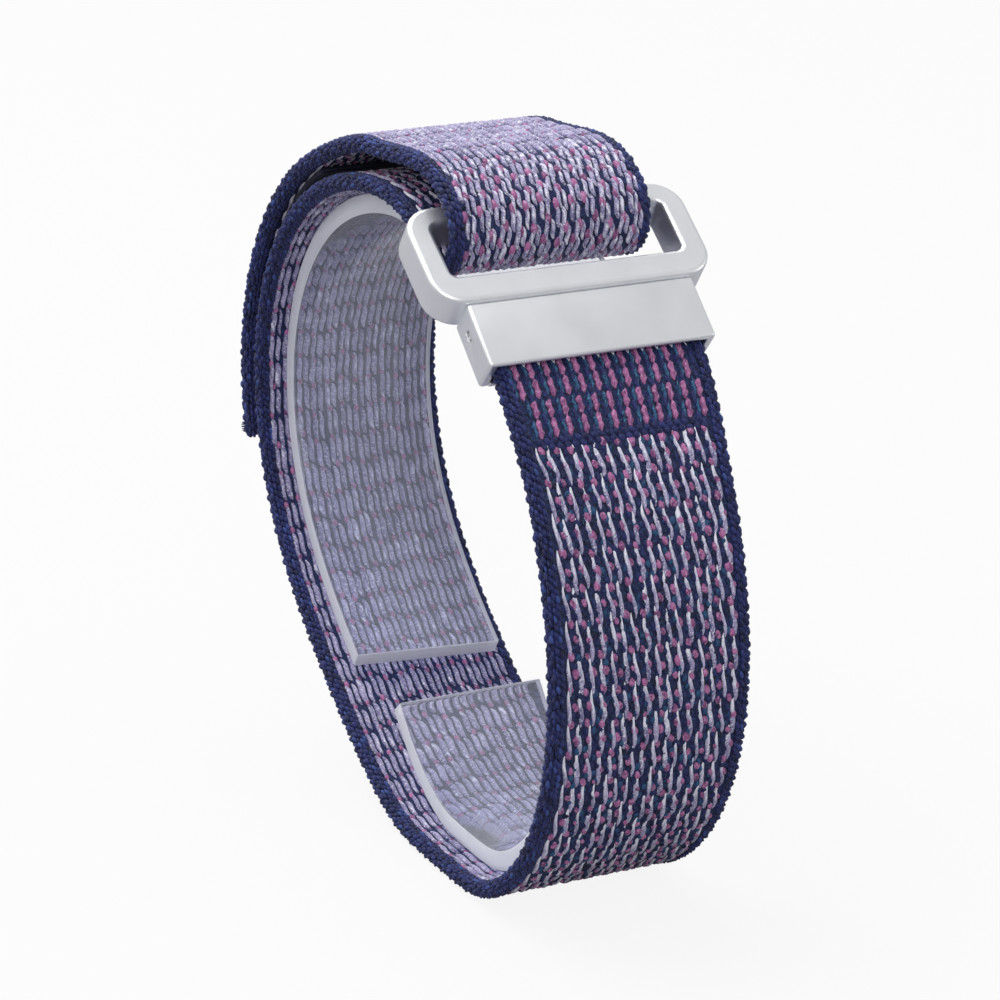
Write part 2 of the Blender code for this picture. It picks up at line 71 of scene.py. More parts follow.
back = Vector((sin(camera_azimuth) * cos(camera_elevation),
               -cos(camera_azimuth) * cos(camera_elevation),
               sin(camera_elevation)))
side = Vector((cos(camera_azimuth), sin(camera_azimuth), 0))
camera_data = bpy.data.cameras.new("photo_camera")
camera_data.lens = camera_lens
camera_data.clip_start = 0.01


def object_of(data):
    """An object in the scene that carries a mesh, a light or the camera, and its name."""
    thing = bpy.data.objects.new(data.name, data)
    bpy.context.scene.collection.objects.link(thing)
    return thing


camera = object_of(camera_data)
camera.location = camera_aim + back * camera_distance + side * camera_slip + back.cross(side) * camera_rise
camera.rotation_mode = "QUATERNION"
camera.rotation_quaternion = (-back).to_track_quat("-Z", "Y")
bpy.context.scene.camera = camera
bpy.context.scene.view_settings.view_transform = "Standard"


def soft_light(name, place, aim, size, power):
    data = bpy.data.lights.new(name, "AREA")
    data.shape = "RECTANGLE"
    data.size, data.size_y = size
    data.energy = power
    light = object_of(data)
    light.location = place
    light.rotation_mode = "QUATERNION"
    light.rotation_quaternion = (Vector(aim) - Vector(place)).to_track_quat("-Z", "Y")


soft_light("overhead_light", (-0.25, 0.35, 0.85), (0, 0, 0.04), (0.9, 0.7), 9.0)
soft_light("front_light", (-0.42, -0.74, 0.45), (0, 0, 0.03), (0.45, 0.45), 2.1)
soft_light("side_light", (0.75, -0.35, 0.10), (0, 0, 0.03), (0.30, 0.40), 0.8)

world = bpy.data.worlds.new("white_tent")
world.use_nodes = True
sky = world.node_tree.nodes["Background"]
sky.inputs["Color"].default_value = tent_colour
sky.inputs["Strength"].default_value = tent_strength
bpy.context.scene.world = world

# Floor: the tent's plain white sheet, which looks evenly white, as the product shot's does,
# and throws back less light than that onto the strap.

floor_size = 3.0
floor_glow = 0.89


def node(tree, kind, inputs=(), **settings):
    """A node with its settings, each input linked to a node or one of its sockets, or given a value."""
    made = tree.nodes.new(kind if kind.startswith("Node") else "ShaderNode" + kind)
    for key, value in settings.items():
        setattr(made, key, value)
    for key, value in dict(inputs).items():
        if isinstance(value, bpy.types.Node):
            value = value.outputs[0]
        if isinstance(value, bpy.types.NodeSocket):
            tree.links.new(value, made.inputs[key])
        else:
            made.inputs[key].default_value = value
    return made


def mesh_of(work, name):
    """The finished work as a mesh."""
    mesh = bpy.data.meshes.new(name)
    work.to_mesh(mesh)
    work.free()
    return mesh


work = bmesh.new()
bmesh.ops.create_grid(work, x_segments=1, y_segments=1, size=floor_size)
floor_look = bpy.data.materials.new("white_floor")
floor_look.use_nodes = True
tree = floor_look.node_tree
tree.nodes.clear()
seen = node(tree, "LightPath")
straight_on = node(tree, "Math", operation="MAXIMUM",
                   inputs={0: seen.outputs["Is Camera Ray"], 1: seen.outputs["Is Transmission Ray"]})
matt = node(tree, "BsdfDiffuse", {"Color": (0.32, 0.32, 0.34, 1)})
faint = node(tree, "BsdfDiffuse", {"Color": (0.06, 0.06, 0.06, 1)})
glow = node(tree, "Emission", {"Color": (1, 1, 1, 1), "Strength": floor_glow})
lit = node(tree, "AddShader", {0: faint, 1: glow})
chosen = node(tree, "MixShader", {0: straight_on, 1: matt, 2: lit})
node(tree, "OutputMaterial", {"Surface": chosen})
floor = object_of(mesh_of(work, "tent_floor"))
floor.data.materials.append(floor_look)

# Strap band, the ground cloth: one nylon ribbon woven 20 mm wide, from its sewn eye inside
# the end housing down the front, round the loop, back under the ring and over its far bar.
# Points of the route are complex numbers, with Y as the real part and Z as the other.

strap_width = 0.020
strap_thickness = 0.0019
half_band = strap_thickness / 2
winding_drift = 0.0006
mouth_spread = 0.042
mouth_spread_reach = 0.013
loop_radius = 0.0336
lean_share = 0.098
lean_angle = radians(-40)
lobe_share = 0.0345
lobe_angle = radians(58)
foot_flat = 0.0012
foot_bend = 0.0009
foot_settle = 0.00015
join_angle = radians(32)
dive_angle = radians(97)
ring_angle = radians(60)
ring_standoff = 0.0011
ring_pitch = radians(37)
ring_thickness = 0.0037
ring_opening_length = 0.0061
near_bar_width = 0.0029
far_bar_width = 0.0021
fold_gap = 0.0008
fold_reach = 0.0003
fold_snug = 0.0012
joint_gap = 0.0003
housing_turn = radians(5)
housing_step = 0.0004
housing_length = 0.0064
housing_front_wall = 0.0005
housing_top_wall = 0.0006
housing_mouth_gap = 0.00042
eye_radius = 0.0011
eye_side_gap = 0.00027
layer_gap = 0.0011
tail_lift_reach = 0.0022
tail_crest_angle = radians(98)
tail_crest_rise = 0.0007
tail_rest_angle = radians(119)
middle_hinge_angle = radians(121)
end_hinge_angle = radians(150)
tail_end_angle = radians(181.5)
angle_step = radians(0.05)
route_step = 0.0001
route_ease = 0.0010
straight_points = 40
bend_points = 200
sweep_points = 1500
outline_points = 7200


def outline_point(angle):
    lean = lean_share * np.cos(2 * (angle - lean_angle))
    lobe = lobe_share * np.cos(3 * (angle - lobe_angle))
    return -loop_radius * (1 + lean + lobe) * np.exp(-1j * angle)


def outline_tangent(angle):
    along = outline_point(angle + angle_step) - outline_point(angle - angle_step)
    return along / np.abs(along)


def outline_offset(angle, offset):
    return outline_point(angle) + outline_tangent(angle) * 1j * offset


ring_along = np.exp(1j * ring_pitch)
housing_along = np.exp(1j * (ring_pitch + housing_turn))
ring_corner = outline_point(ring_angle) * (1 + ring_standoff / abs(outline_point(ring_angle)))


def on_ring(along, out):
    return ring_corner + ring_along * (along + 1j * out)


housing_corner = on_ring(-near_bar_width - joint_gap, -housing_step)


def on_housing(along, out):
    return housing_corner + housing_along * (along + 1j * out)


def straight(start, end):
    return np.linspace(start, end, straight_points)


def bend(start, start_way, end, end_way):
    reach = abs(end - start) / 3
    t = np.linspace(0, 1, bend_points)
    first, second = start + start_way * reach, end - end_way * reach
    return start * (1 - t) ** 3 + first * 3 * t * (1 - t) ** 2 + second * 3 * t * t * (1 - t) + end * t ** 3


def sweep(first, last, offset):
    return outline_offset(np.linspace(first, last, sweep_points), offset)


def soft_floor(height, level):
    """Keeps a curve above a level, with a gentle bend where it meets it."""
    above = height - level
    return level + (above + np.sqrt(above ** 2 + foot_bend ** 2)) / 2 - foot_settle


all_round = outline_point(np.linspace(0, tau, outline_points))
foot_level = all_round.imag.min() + foot_flat
mid_depth = -housing_front_wall - half_band - housing_mouth_gap
bar_along = -housing_top_wall - eye_side_gap - eye_radius
bar_place = on_housing(bar_along, mid_depth)
mouth = on_housing(-housing_length, mid_depth)
mouth_distance = abs(mouth - bar_place)
fold_radius = ring_thickness / 2 + fold_gap + half_band
fold_centre_along = ring_opening_length - fold_reach
fold_centre = on_ring(fold_centre_along + fold_snug, -ring_thickness / 2)
fold_under = -ring_thickness - fold_gap - half_band
fold_over = fold_gap + half_band
tail_offset = layer_gap + half_band
hinge_places = [on_ring(fold_centre_along + tail_lift_reach, fold_over),
                outline_offset(middle_hinge_angle, tail_offset),
                outline_offset(end_hinge_angle, tail_offset)]

around = sweep(join_angle, dive_angle - tau, -half_band)
around = around.real + 1j * soft_floor(around.imag, foot_level + half_band)
under = on_ring(ring_opening_length + far_bar_width, fold_under)
fold_turn = np.linspace(-pi / 2, -3 * pi / 2, bend_points)
crest = outline_offset(tail_crest_angle, tail_offset + tail_crest_rise)
rest = outline_offset(tail_rest_angle, tail_offset)
runs = [straight(bar_place, mouth),
        bend(mouth, -housing_along, around[0], -outline_tangent(join_angle)),
        around,
        bend(around[-1], -outline_tangent(dive_angle), under, -ring_along),
        straight(under, on_ring(fold_centre_along + fold_snug, fold_under)),
        fold_centre + ring_along * fold_radius * np.exp(1j * fold_turn),
        straight(on_ring(fold_centre_along + fold_snug, fold_over), hinge_places[0]),
        bend(hinge_places[0], ring_along, crest, 1),
        bend(crest, 1, rest, outline_tangent(tail_rest_angle)),
        sweep(tail_rest_angle, tail_end_angle, tail_offset)]
main_length = np.abs(np.diff(np.concatenate(runs[:7]))).sum()
points = np.concatenate(runs)
travel = np.concatenate([[0], np.cumsum(np.abs(np.diff(points)))])
whole_length = travel[-1]
route_s = np.arange(0, whole_length, route_step)
route = np.interp(route_s, travel, points)
ease_count = round(route_ease / route_step)
ease = np.hanning(2 * ease_count + 3)[1:-1]
ahead = np.arange(1, ease_count + 1)
padded = np.concatenate([route[0] - ahead[::-1] * (route[1] - route[0]), route,
                         route[-1] + ahead * (route[-1] - route[-2])])
route = np.convolve(padded, ease / ease.sum(), "valid")
route_way = np.gradient(route)
route_way /= np.abs(route_way)

buckle_hinge = next(j for j in frame["joints"] if j["name"] == "buckle_tilt")["pos_m"]
loop_centre = complex(buckle_hinge[1], buckle_hinge[2]) - bar_place
hinge_distances = [main_length] + [route_s[np.argmin(np.abs(route - place))] for place in hinge_places[1:]]


def in_world(place, across=0.0):
    place = place + loop_centre
    return Vector((across, place.real, place.imag))


def laid(across, along, height):
    """Places of points of the flat cloth once it is wound: height is towards the outer face."""
    beyond = along - np.clip(along, 0, route_s[-1])
    place = np.interp(along, route_s, route)
    way = np.interp(along, route_s, route_way)
    way = way / np.abs(way)
    place = place + way * (beyond - 1j * height) + loop_centre
    near = np.clip(1 - (along - mouth_distance) / mouth_spread_reach, 0, 1)
    across = across * (1 + mouth_spread * near ** 2 * (3 - 2 * near))
    return np.stack([across - winding_drift * along / whole_length, place.real, place.imag], -1)


def cloth_object(mesh, across, along, height, look, shade, tip, flat_map):
    """A finished piece of cloth: its mesh laid on the route, with its map in metres of cloth, so that the
    fibres run with each yarn, and two marks: shade, a tone of each yarn that is partly painted shading, and
    tip, which mixes in the yarn's tip colour, mostly as painted highlights and glints."""
    across, along, height, shade, tip, map_u, map_v = [
        part.ravel() for part in np.broadcast_arrays(across, along, height, shade, tip, *flat_map)]
    corners = np.zeros(len(mesh.loops), np.int32)
    mesh.loops.foreach_get("vertex_index", corners)
    layer = mesh.uv_layers.new(name="yarn_map")
    layer.data.foreach_set("uv", np.stack([map_u, map_v], -1)[corners].astype(np.float32).ravel())
    mesh.vertices.foreach_set("co", laid(across, along, height).astype(np.float32).ravel())
    for mark, value in (("shade", shade), ("tip", tip)):
        layer = mesh.attributes.new(mark, "FLOAT", "POINT")
        layer.data.foreach_set("value", value.astype(np.float32))
    mesh.materials.clear()
    mesh.materials.append(look)
    mesh.shade_smooth()
    mesh.update()
    return object_of(mesh)


def shader_group(name, takes, gives):
    """An empty node group with its named inputs, their first values, and its outputs."""
    group = bpy.data.node_groups.new(name, "ShaderNodeTree")
    for label, kind, value in takes:
        socket = group.interface.new_socket(name=label, in_out="INPUT", socket_type="NodeSocket" + kind)
        socket.default_value = value
    for label, kind in gives:
        group.interface.new_socket(name=label, in_out="OUTPUT", socket_type="NodeSocket" + kind)
    return group


def spread_range(tree, value, low, high, start=0.0, end=1.0):
    """Turns a pattern's values from start to end into low to high."""
    return node(tree, "MapRange", {"Value": value, "From Min": start, "From Max": end, "To Min": low,
                                   "To Max": high}).outputs[0]


# Dyed yarn: fine filaments run along each yarn, some pale and some dark, and small specks of the tip colour
# are painted glints of light on the filaments
yarn_group = shader_group(
    "dyed_yarn",
    [("Deep Colour", "Color", (0, 0, 0, 1)), ("Full Colour", "Color", (1, 1, 1, 1)),
     ("Tip Colour", "Color", (1, 1, 1, 1)), ("Shade", "Float", 0.5), ("Tip", "Float", 0.0),
     ("Map", "Vector", (0, 0, 0)), ("Relief", "Float", 0.5), ("Glints", "Float", 0.5)],
    [("Colour", "Color"), ("Roughness", "Float"), ("Normal", "Vector")])
given = node(yarn_group, "NodeGroupInput").outputs
stretch = node(yarn_group, "VectorMath", {0: given["Map"], 1: (9000.0, 900.0, 1.0)}, operation="MULTIPLY")
fibres = node(yarn_group, "TexNoise", {"Vector": stretch, "Scale": 1.0, "Detail": 2.0})
broad = node(yarn_group, "TexNoise", {"Vector": given["Map"], "Scale": 2200.0, "Detail": 1.0})
glint_specks = node(yarn_group, "TexNoise", {"Vector": given["Map"], "Scale": 4300.0, "Detail": 1.0})
glint = node(yarn_group, "Math", operation="MULTIPLY",
             inputs={0: spread_range(yarn_group, glint_specks, 0, 1, 0.54, 0.66), 1: given["Glints"]})
tip_sum = node(yarn_group, "Math", operation="ADD", use_clamp=True, inputs={0: glint, 1: given["Tip"]})
sum_first = node(yarn_group, "Math", operation="ADD",
                 inputs={0: spread_range(yarn_group, fibres, -0.38, 0.38, 0.3, 0.7),
                         1: spread_range(yarn_group, broad, -0.20, 0.20, 0.3, 0.7)})
sum_all = node(yarn_group, "Math", operation="ADD", use_clamp=True,
               inputs={0: sum_first, 1: given["Shade"]})
dye = node(yarn_group, "Mix", data_type="RGBA",
           inputs={0: sum_all, 6: given["Deep Colour"], 7: given["Full Colour"]})
tipped = node(yarn_group, "Mix", data_type="RGBA",
              inputs={0: tip_sum, 6: dye.outputs[2], 7: given["Tip Colour"]})
relief = node(yarn_group, "Bump", {"Strength": given["Relief"], "Distance": 0.00009, "Height": fibres})
node(yarn_group, "NodeGroupOutput",
     {"Colour": tipped.outputs[2], "Normal": relief,
      "Roughness": spread_range(yarn_group, fibres, 0.75, 0.5)})


def finished_look(name, group, inputs):
    """A material whose colour, roughness and relief come from a group, and its own shader."""
    look = bpy.data.materials.new(name)
    look.use_nodes = True
    tree = look.node_tree
    shader = tree.nodes["Principled BSDF"]
    finish = node(tree, "Group", node_tree=group, inputs=inputs(tree))
    for gives, takes in (("Colour", "Base Color"), ("Roughness", "Roughness"), ("Normal", "Normal")):
        tree.links.new(finish.outputs[gives], shader.inputs[takes])
    return look, shader


def yarn_look(name, deep, full, tip, sheen=0.35, glints=0.5):
    """Nylon yarn of one dye, with a tip colour that its painted glints and highlights take."""
    def marks(tree):
        return {"Deep Colour": (*deep, 1), "Full Colour": (*full, 1), "Tip Colour": (*tip, 1),
                "Shade": node(tree, "Attribute", attribute_name="shade").outputs["Fac"],
                "Tip": node(tree, "Attribute", attribute_name="tip").outputs["Fac"],
                "Map": node(tree, "UVMap", uv_map="yarn_map"), "Relief": 0.6, "Glints": glints}

    look, shader = finished_look(name, yarn_group, marks)
    shader.inputs["Sheen Weight"].default_value = sheen
    shader.inputs["Sheen Roughness"].default_value = 0.4
    shader.inputs["Specular IOR Level"].default_value = 0.35
    return look


# Each yarn's third colour is its tip colour, which the painted glints and highlights take.
navy_yarn = yarn_look("navy_yarn", (0.003, 0.004, 0.024), (0.021, 0.026, 0.140), (0.04, 0.08, 0.29),
                      sheen=0.10, glints=0.45)
ground_yarn = yarn_look("ground_yarn", (0.002, 0.003, 0.014), (0.016, 0.020, 0.110), (0.020, 0.085, 0.19),
                        sheen=0.05, glints=0.55)

# Lengths of cloth that move as one: where each begins, and how it follows the bodies
fold_end = main_length - tail_lift_reach
front_middle = (hinge_distances[0] + hinge_distances[1]) / 2
middle_middle = (hinge_distances[1] + hinge_distances[2]) / 2
band_start = eye_radius * 0.8
stretches = [("band", band_start, fold_end, None, "strap_band"),
             ("tail_front", fold_end, front_middle,
              ("band", "tail_front", 0, 0.0021, 0.0036), "strap_tail_front"),
             ("tail_middle", front_middle, middle_middle,
              ("tail_front", "tail_middle", 1, 0.0040, 0.0040), "strap_tail_middle"),
             ("tail_end", middle_middle, whole_length,
              ("tail_middle", "tail_end", 2, 0.0020, 0.0056), "strap_tail_end")]


def carry(piece, stretch):
    """Rides with the band's body when its stretch is the band; a tail piece is only fixed where it lies."""
    _, _, _, hinge, _ = stretch
    if hinge is None:
        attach(piece, "band")
    else:
        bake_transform(piece)


def draw_out(work, vec):
    """Makes a closed block of a sheet, by drawing its faces out."""
    grown = bmesh.ops.extrude_face_region(work, geom=work.faces[:])
    drawn = [g for g in grown["geom"] if isinstance(g, bmesh.types.BMVert)]
    bmesh.ops.translate(work, vec=vec, verts=drawn)


def flat_slab(name, columns, rows):
    """A closed slab of cloth, and the places of its points: across and along from -1 to 1, up from 0 to 1."""
    work = bmesh.new()
    bmesh.ops.create_grid(work, x_segments=columns, y_segments=rows, size=1)
    draw_out(work, (0, 0, 1))
    bmesh.ops.recalc_face_normals(work, faces=work.faces)
    mesh = mesh_of(work, name)
    flat = np.zeros(len(mesh.vertices) * 3)
    mesh.vertices.foreach_get("co", flat)
    return mesh, *flat.reshape(-1, 3).T


core_half_width = 0.0093
core_half_height = 0.00062
core_columns = 40
core_step = 0.0005
core_weave_across = 0.00078
core_weave_along = 0.0009
for stretch in stretches:
    stretch_name, first, last, _, node_name = stretch
    mesh, u, v, w = flat_slab(stretch_name + "_ground_cloth", core_columns, round((last - first) / core_step))
    across = u * core_half_width
    along = first + (v + 1) / 2 * (last - first)
    up = w * 2 - 1
    # Painted shading: light and dark squares stand in for the over-and-under bumps of the weave, which the
    # flat slab doesn't have.
    weave_shading = np.sin(across * tau / core_weave_across) * np.sin(along * tau / core_weave_along)
    piece = cloth_object(mesh, across, along, up * core_half_height, ground_yarn, 0.5 + 0.5 * weave_shading, 0,
                         (across + up * 0.05, along))
    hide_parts(node_name)
    carry(piece, stretch)

# Selvedges: the band's two edges, each a rope of navy yarn knitted over the ends of the weft
# in small slanting loops, as thick as the band and round on the outside.

edge_inner = 0.0090
edge_flat = 0.00035
edge_turn_radius = 0.00074
edge_length = 2 * (edge_flat + pi * edge_turn_radius / 2)
edge_loops_round = 8
edge_row = 0.00070
edge_knuckle = 0.00012
edge_knuckle_step = 0.00115
edge_glint_share = 0.07
edge_loop_half_width = 0.00027
edge_loop_half_length = 0.00044
edge_loop_half_thickness = 0.00038
edge_loop_slant = 0.00016
edge_loop_sink = 0.00018
map_size = 0.0004


def yarn_loops(name, rows, columns, sides, rings):
    """Closed loops of yarn in rows and a count of columns, all in one mesh: with each one's row and
    column, and its points on a unit ball, across, along and up."""
    row, column = [g.ravel()[:, None] for g in np.meshgrid(rows, np.arange(columns), indexing="ij")]
    work = bmesh.new()
    bmesh.ops.create_uvsphere(work, u_segments=sides, v_segments=rings, radius=1)
    bmesh.ops.rotate(work, matrix=Matrix.Rotation(-pi / 2, 3, "X"), verts=work.verts)
    ball = np.array([v.co for v in work.verts])
    mesh = mesh_of(work, name)
    thing = object_of(mesh)
    repeat = thing.modifiers.new("repeat", "ARRAY")
    repeat.use_relative_offset = False
    repeat.use_constant_offset = True
    repeat.constant_offset_displace = (0, 0, 0)
    repeat.count = len(row)
    bpy.context.view_layer.update()
    repeated = bpy.data.meshes.new_from_object(thing.evaluated_get(bpy.context.evaluated_depsgraph_get()))
    bpy.data.objects.remove(thing, do_unlink=True)
    bpy.data.meshes.remove(mesh)
    repeated.name = name
    return repeated, row, column, *ball.T


def own_map(map_u, map_v):
    """The map of the row's loops, each at a place of its own in the yarn's pattern."""
    return map_u + chance.random(row.shape), map_v + chance.random(row.shape)


def vary(amount):
    """An amount for each of the row's loops, more or less by chance."""
    return amount * chance.standard_normal(row.shape)


def edge_profile(q, depth, knuckle):
    """Place across and up on the rounded edge, q from the outer face round to the inner one."""
    turn = np.clip((q - edge_flat) / edge_turn_radius, 0, pi)
    radius = edge_turn_radius + depth + knuckle * np.sin(turn)
    across = edge_inner + edge_flat + np.sin(turn) * radius
    across = across - np.where(q < edge_flat, edge_flat - q, 0)
    across = across - np.where(q > edge_length - edge_flat, q - edge_length + edge_flat, 0)
    return across, np.cos(turn) * radius


chance = np.random.default_rng(41)
for stretch in stretches:
    stretch_name, first, last, _, _ = stretch
    edge_rows = np.arange(ceil(first / edge_row), ceil(last / edge_row))
    pairs = (len(edge_rows) * edge_loops_round, 2)
    slip_round, slip_along = chance.standard_normal(pairs), chance.standard_normal(pairs)
    map_round, map_along = chance.random(pairs), chance.random(pairs)
    tone, glint_draw = chance.standard_normal(pairs), chance.random(pairs)
    for which, (edge, side_sign) in enumerate((("_near", -1), ("_far", 1))):
        mesh, row, loop, u, v, w = yarn_loops(stretch_name + edge + "_selvedge", edge_rows,
                                              edge_loops_round, 6, 5)
        one = slice(which, which + 1)
        centre_q = (loop + 0.5 + 0.12 * slip_round[:, one]) * edge_length / edge_loops_round
        centre_s = (row + 0.5 * (loop % 2)) * edge_row + 0.00004 * slip_along[:, one]
        q = centre_q + edge_loop_half_width * u + edge_loop_slant * v * (0.5 * side_sign)
        knuckle = edge_knuckle * np.cos(centre_s / edge_knuckle_step * tau)
        across, height = edge_profile(q, edge_loop_half_thickness * w - edge_loop_sink, knuckle)
        # Painted light: each loop is lighter towards its top, and a few loops get a painted royal-blue glint
        # on their tops.
        shade = np.clip(0.36 + 0.26 * tone[:, one] + 0.25 * w, 0, 1)
        tip = (glint_draw[:, one] < edge_glint_share) * (w > 0.5)
        flat_map = (u * map_size + map_round[:, one], v * map_size + map_along[:, one])
        along = centre_s + edge_loop_half_length * v
        carry(cloth_object(mesh, across * side_sign, along, height, navy_yarn, shade, tip, flat_map), stretch)

# Outer face pile: lilac floats stand over the navy ground in rows, for the hooks to hold,
# with short pink picks where the pink yarn comes up between them.

lilac_yarn = yarn_look("lilac_yarn", (0.13, 0.115, 0.26), (0.49, 0.44, 0.66), (0.88, 0.88, 0.97),
                       sheen=0.4, glints=0.6)
pink_yarn = yarn_look("pink_yarn", (0.14, 0.04, 0.13), (0.47, 0.16, 0.36), (0.72, 0.45, 0.66),
                      sheen=0.15, glints=0.4)
header_end = mouth_distance + 0.0068
pile_end = whole_length - 0.0004
float_row = 0.0031
first_float_row = header_end + 0.0025
float_columns = 16
float_pitch = 0.00112
float_half_length = 0.00185
float_half_widths = 0.00021, 0.00029
float_half_thicknesses = 0.00030, 0.00022
float_height = 0.00060
float_slant = 0.00035
pick_columns = 12
pick_pitch = 0.00148
pick_half_width = 0.00031
pick_half_length = 0.00040
pick_half_thickness = 0.00024
pick_height = 0.00062
ground_row = 0.0009
ground_columns = 22
ground_pitch = 0.00076
ground_half_width = 0.00033
ground_half_length = 0.00042
ground_height = 0.00056


def rows_between(first, last, start, step):
    """Numbers of the rows whose middles lie in a stretch."""
    low = max(first, start - step / 2)
    return np.arange(ceil((low - start) / step), ceil((min(last, pile_end) - start) / step))


for stretch_index, stretch in enumerate(stretches):
    stretch_name, first, last, _, _ = stretch
    chance = np.random.default_rng(100 + stretch_index)

    # Lilac floats, thin and full ones in turn
    rows = rows_between(first, last, first_float_row, float_row)
    mesh, row, column, u, v, w = yarn_loops(stretch_name + "_outer_floats", rows, float_columns, 8, 8)
    points = (len(row), len(u))
    thin = column % 2 == 0
    half_width = np.where(thin, *float_half_widths) * (1 + vary(0.12))
    half_length = float_half_length * (1 + vary(0.06))
    centre_x = (column - (float_columns - 1) / 2) * float_pitch + vary(0.00006)
    centre_s = first_float_row + row * float_row + float_slant * ((column % 4) / 3 - 0.5) + vary(0.00012)
    girth = 0.92 + 0.26 * v
    lean = 0.00011 + vary(0.00005)
    bow = 0.00010 + vary(0.00004)
    across = centre_x + half_width * girth * u + lean * v + bow * np.sin(v * pi)
    height = float_height + np.where(thin, *float_half_thicknesses) * girth * w
    flat_map = own_map(u * map_size + v * 0.0011, v * half_length)
    # Painted light: thin floats, which stand higher, are lighter, each float darkens towards its lower end,
    # its upper end gets a painted highlight of near white, and so do random points.
    shade = np.clip(0.50 + np.where(thin, 0.15, -0.08) + vary(0.12) - 0.12 * v, 0, 1)
    tip = np.clip(-v * 1.1 - 0.05 + 0.75 * (chance.random(points) < 0.22), 0, 1)
    along = centre_s + half_length * v
    carry(cloth_object(mesh, across, along, height, lilac_yarn, shade, tip, flat_map), stretch)

    # Pink picks
    rows = rows_between(first, last, first_float_row - float_row / 2, float_row / 2)
    mesh, row, column, u, v, w = yarn_loops(stretch_name + "_outer_picks", rows, pick_columns, 6, 5)
    points = (len(row), len(u))
    centre_x = (column - (pick_columns - 1) / 2 + 0.25 * (row % 2)) * pick_pitch + vary(0.00012)
    centre_s = (first_float_row + (row - 1) * float_row / 2 + vary(0.0001)
                + float_slant * ((column * pick_pitch / float_pitch % 4) / 3 - 0.5))
    square = np.maximum(np.abs(u), np.abs(v)) * 0.28 + 0.86
    size = 1 + vary(0.14)
    across = centre_x + pick_half_width * u * square * size + 0.00007 * v
    along = centre_s + pick_half_length * v * square * size
    flat_map = own_map(u * map_size, v * map_size)
    grain = chance.standard_normal(points)
    shade = np.clip(0.55 + vary(0.2) + 0.32 * grain, 0, 1)
    height = pick_height + pick_half_thickness * w
    carry(cloth_object(mesh, across, along, height, pink_yarn, shade, 0, flat_map), stretch)

    # Navy ground picks between the floats, some with teal in them
    rows = np.arange(ceil(max(first, header_end) / ground_row), ceil(min(last, pile_end) / ground_row))
    mesh, row, column, u, v, w = yarn_loops(stretch_name + "_outer_ground", rows, ground_columns, 6, 4)
    points = (len(row), len(u))
    centre_x = (column - (ground_columns - 1) / 2 + 0.5 * (row % 2) - 0.25) * ground_pitch
    across = centre_x + ground_half_width * u
    along = row * ground_row + vary(0.00005) + ground_half_length * v
    height = ground_height + pick_half_thickness * w
    flat_map = own_map(u * map_size, v * map_size)
    # Painted shading: each ground pick is lighter on its top and darker down its sides.
    shade = np.clip(0.3 + vary(0.22) + 0.45 * w, 0, 1)
    teal = (chance.random(row.shape) < 0.24) * (chance.random(points) < 0.6) * 0.9
    carry(cloth_object(mesh, across, along, height, ground_yarn, shade, teal, flat_map), stretch)

# Inner face pile, which the fold brings outside on the free tail: fuller lilac yarns lie side
# by side in pairs, waved along the band, and part over the bar to show navy and pink.

inner_columns = 24
inner_pitch = 0.00076
inner_row = 0.0031
inner_first_row = mouth_distance + 0.003
inner_curl = 0.00013
inner_slant = 0.0003
inner_height = -0.00062
inner_half_width = 0.00026
inner_half_lengths = 0.00092, 0.00154
inner_half_thickness = 0.00032
neck_half_width = 0.00028
neck_half_length = 0.00042
stretch_from = main_length - 0.0085
stretch_to = main_length + 0.0035
stretch_fade = 0.0035


def stretched(along):
    """One where the cloth is pulled round the bar, none where it lies relaxed."""
    rise = np.clip((along - stretch_from) / stretch_fade + 0.5, 0, 1)
    fall = np.clip((stretch_to - along) / stretch_fade + 0.5, 0, 1)
    return rise * fall


